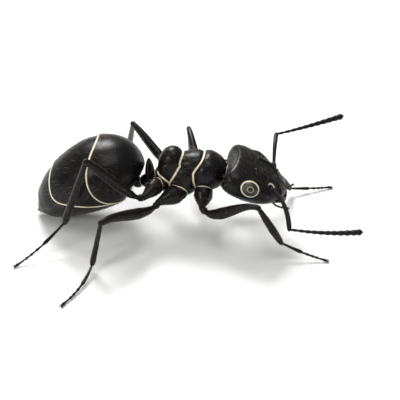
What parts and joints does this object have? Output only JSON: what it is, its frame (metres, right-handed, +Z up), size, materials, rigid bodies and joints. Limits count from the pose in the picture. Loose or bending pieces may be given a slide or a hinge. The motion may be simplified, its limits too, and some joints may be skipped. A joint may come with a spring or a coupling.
{
  "type": "ant",
  "caption": "Life-size black carpenter ant, a large wingless worker, standing on its feet with elbowed antennae held forward and its big plated gaster lowered behind.",
  "frame": {"origin": "on the floor, under the middle of the box round the whole ant", "axes": "+X forward along the body, +Y to the ant's left, +Z up"},
  "size_m": [0.0174, 0.0148, 0.0059],
  "materials": {
    "cuticle": "satin black cuticle with a very fine leathery grain, sparse pale hairs and cream-brown plate edges",
    "leg_cuticle": "satin black-brown cuticle with short bristles",
    "antenna_cuticle": "dull dark brown cuticle with very short down",
    "jaw_cuticle": "glossy dark red-brown cuticle, almost black at the teeth",
    "eye_lens": "glossy black compound eye with tiny domed facets"
  },
  "bodies": {
    "root": {"eye_left": "eye_lens", "eye_right": "eye_lens", "funiculus_left": "antenna_cuticle", "funiculus_right": "antenna_cuticle", "gaster_belly": "cuticle", "gaster_tergite_1": "cuticle", "gaster_tergite_2": "cuticle", "gaster_tergite_3": "cuticle", "gaster_tip": "cuticle", "head": "cuticle", "helcium": "cuticle", "left_fore_coxa": "leg_cuticle", "left_fore_femur": "leg_cuticle", "left_fore_tarsus": "leg_cuticle", "left_fore_tibia": "leg_cuticle", "left_hind_coxa": "leg_cuticle", "left_hind_femur": "leg_cuticle", "left_hind_tarsus": "leg_cuticle", "left_hind_tibia": "leg_cuticle", "left_middle_coxa": "leg_cuticle", "left_middle_femur": "leg_cuticle", "left_middle_tarsus": "leg_cuticle", "left_middle_tibia": "leg_cuticle", "mandible_left": "jaw_cuticle", "mandible_right": "jaw_cuticle", "mesonotum": "cuticle", "mesopleuron": "cuticle", "metapleuron": "cuticle", "neck": "cuticle", "palp_left": "antenna_cuticle", "palp_right": "antenna_cuticle", "petiole": "cuticle", "pronotum": "cuticle", "propodeum": "cuticle", "right_fore_coxa": "leg_cuticle", "right_fore_femur": "leg_cuticle", "right_fore_tarsus": "leg_cuticle", "right_fore_tibia": "leg_cuticle", "right_hind_coxa": "leg_cuticle", "right_hind_femur": "leg_cuticle", "right_hind_tarsus": "leg_cuticle", "right_hind_tibia": "leg_cuticle", "right_middle_coxa": "leg_cuticle", "right_middle_femur": "leg_cuticle", "right_middle_tarsus": "leg_cuticle", "right_middle_tibia": "leg_cuticle", "scape_left": "antenna_cuticle", "scape_right": "antenna_cuticle"}
  },
  "joints": []
}
